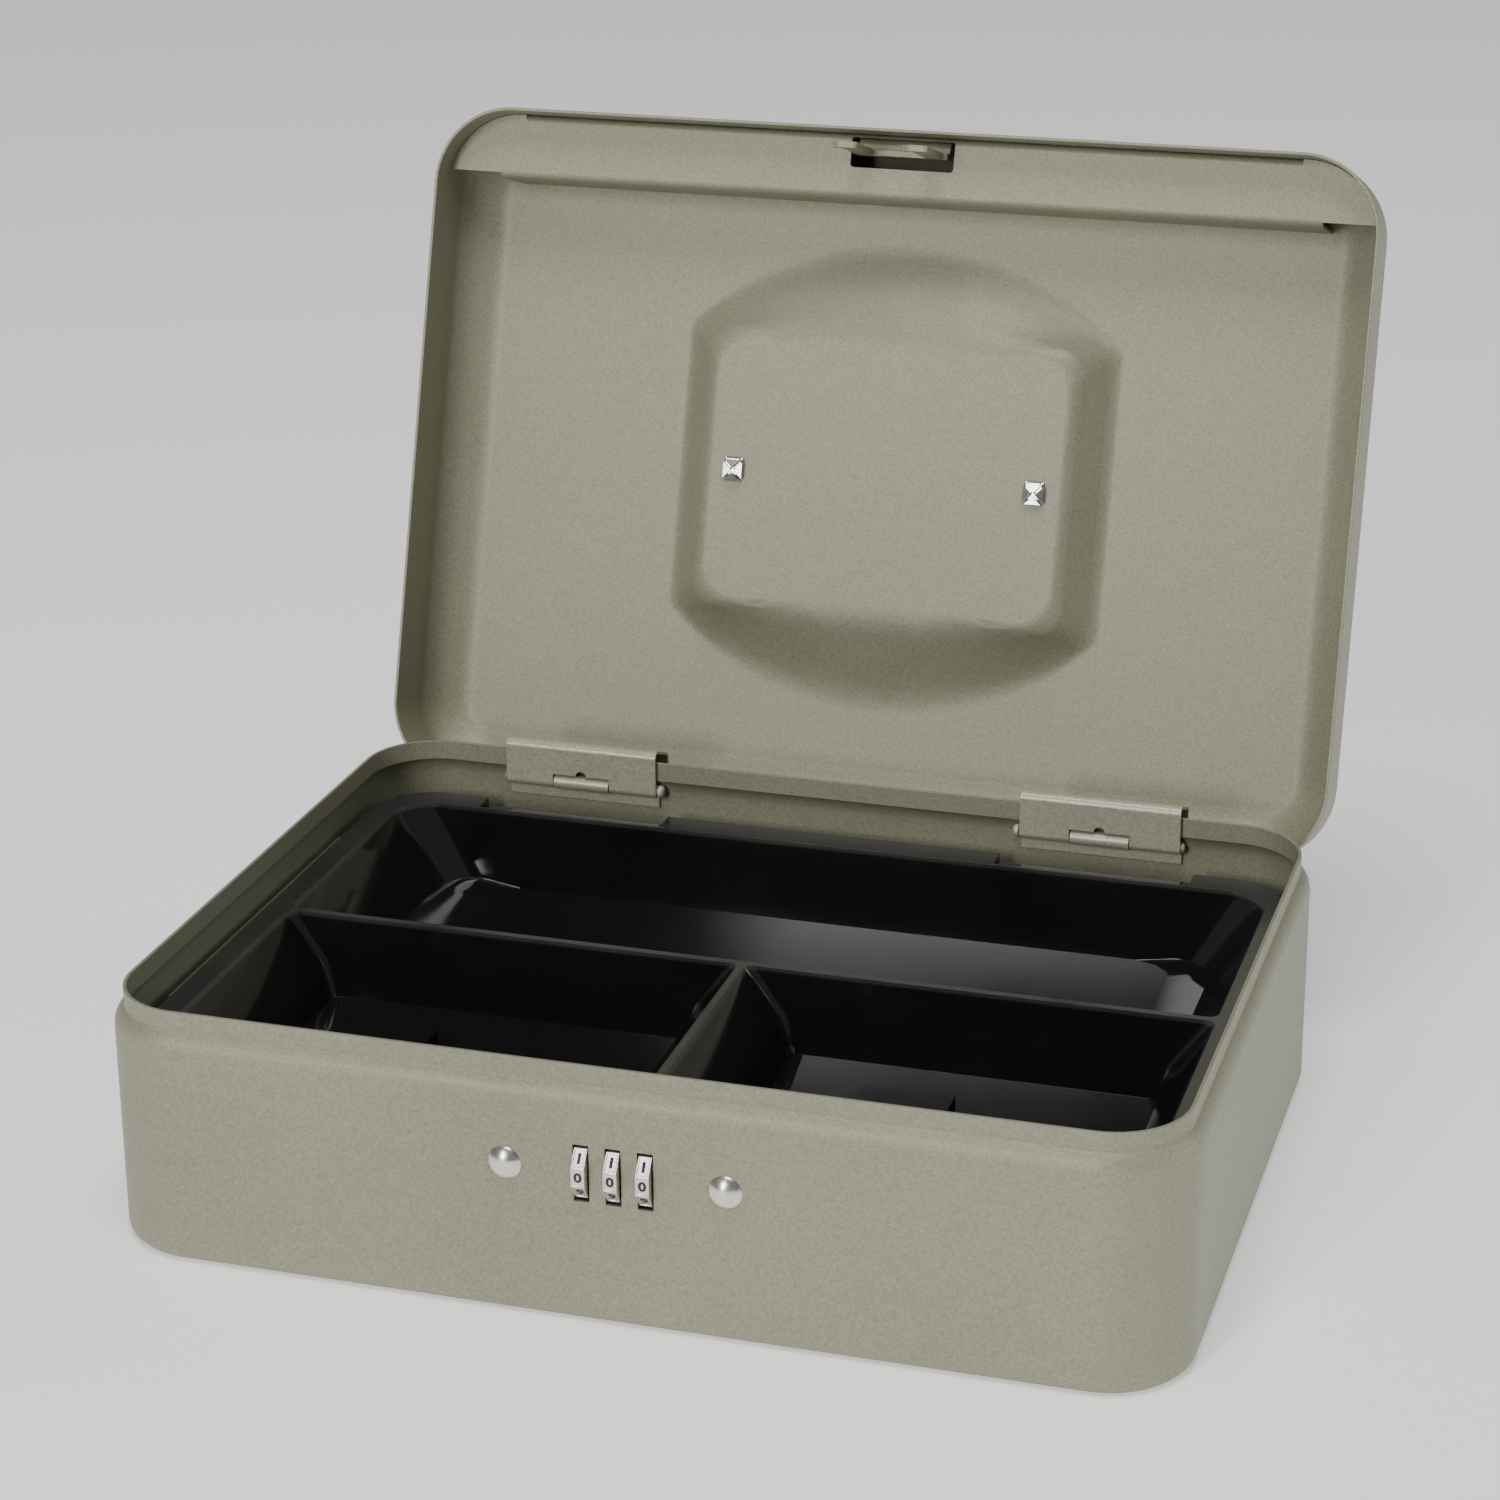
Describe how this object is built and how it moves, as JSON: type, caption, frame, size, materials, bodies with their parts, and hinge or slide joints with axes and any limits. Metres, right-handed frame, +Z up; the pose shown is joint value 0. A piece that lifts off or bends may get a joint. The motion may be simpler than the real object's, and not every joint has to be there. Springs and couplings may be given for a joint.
{
  "type": "combination cash box",
  "caption": "Grey sheet-steel cash box with a combination lock, shown open: hinged lid with a wire handle, and a black coin tray inside.",
  "frame": {"origin": "centre of the flat underside of the base", "axes": "+X along the box's width to the right as seen from the dials, +Y to the hinges at the back, +Z up"},
  "size_m": [0.25, 0.2559, 0.2197],
  "materials": {
    "grey_paint": "satin textured paint",
    "hinge_paint": "hammered paint",
    "black_plastic": "glossy",
    "nickel": "bright nickel plate",
    "zinc": "bright zinc plate",
    "handle_steel": "plated wire",
    "lock_steel": "plain",
    "spring_steel": "plain"
  },
  "bodies": {
    "base": {"base_shell": "grey_paint", "tray_support_left": "grey_paint", "tray_support_right": "grey_paint", "hinge_base_leaf_left": "hinge_paint", "hinge_base_leaf_right": "hinge_paint", "hinge_pin_left": "hinge_paint", "hinge_pin_right": "hinge_paint", "lock_plate": "lock_steel", "lock_case": "grey_paint", "lock_rivets": "nickel", "guide_studs": "lock_steel", "lock_spindle": "lock_steel", "latch_spring": "spring_steel", "detent_spring": "spring_steel"},
    "lid": {"lid_shell": "grey_paint", "lid_front_strip": "grey_paint", "lid_striker": "grey_paint", "hinge_lid_leaf_left": "hinge_paint", "hinge_lid_leaf_right": "hinge_paint", "handle_clip_left": "zinc", "handle_clip_right": "zinc"},
    "handle": {"handle_bail": "handle_steel"},
    "tray": {"coin_tray": "black_plastic"},
    "dial_left": {"number_wheel_left": "nickel", "cam_left": "lock_steel"},
    "dial_middle": {"number_wheel_middle": "nickel", "cam_middle": "lock_steel"},
    "dial_right": {"number_wheel_right": "nickel", "cam_right": "lock_steel"},
    "latch": {"latch_slide": "lock_steel"}
  },
  "joints": [
    {"name": "lid_hinge", "type": "hinge", "parent": "base", "child": "lid", "pos_m": [0, 0.08618, 0.0535], "axis": [-1, 0, 0], "range_deg": [-107.9, 0]},
    {"name": "handle_swing", "type": "hinge", "parent": "lid", "child": "handle", "pos_m": [0, 0.13446, 0.12846], "axis": [1, 0, 0], "range_deg": [-16, 158]},
    {"name": "tray_lift", "type": "slide", "parent": "base", "child": "tray", "axis": [0, 0, 1], "range_m": [0, 0.08]},
    {"name": "dial_left_turn", "type": "hinge", "parent": "base", "child": "dial_left", "pos_m": [0, -0.0844, 0.0367], "axis": [1, 0, 0], "continuous": true},
    {"name": "dial_middle_turn", "type": "hinge", "parent": "base", "child": "dial_middle", "pos_m": [0, -0.0844, 0.0367], "axis": [1, 0, 0], "continuous": true},
    {"name": "dial_right_turn", "type": "hinge", "parent": "base", "child": "dial_right", "pos_m": [0, -0.0844, 0.0367], "axis": [1, 0, 0], "continuous": true},
    {"name": "latch_travel", "type": "slide", "parent": "base", "child": "latch", "axis": [-1, 0, 0], "range_m": [0, 0.0023], "stiffness_N_per_m": 100, "springref_m": -0.003, "deforming": ["latch_spring"]}
  ]
}
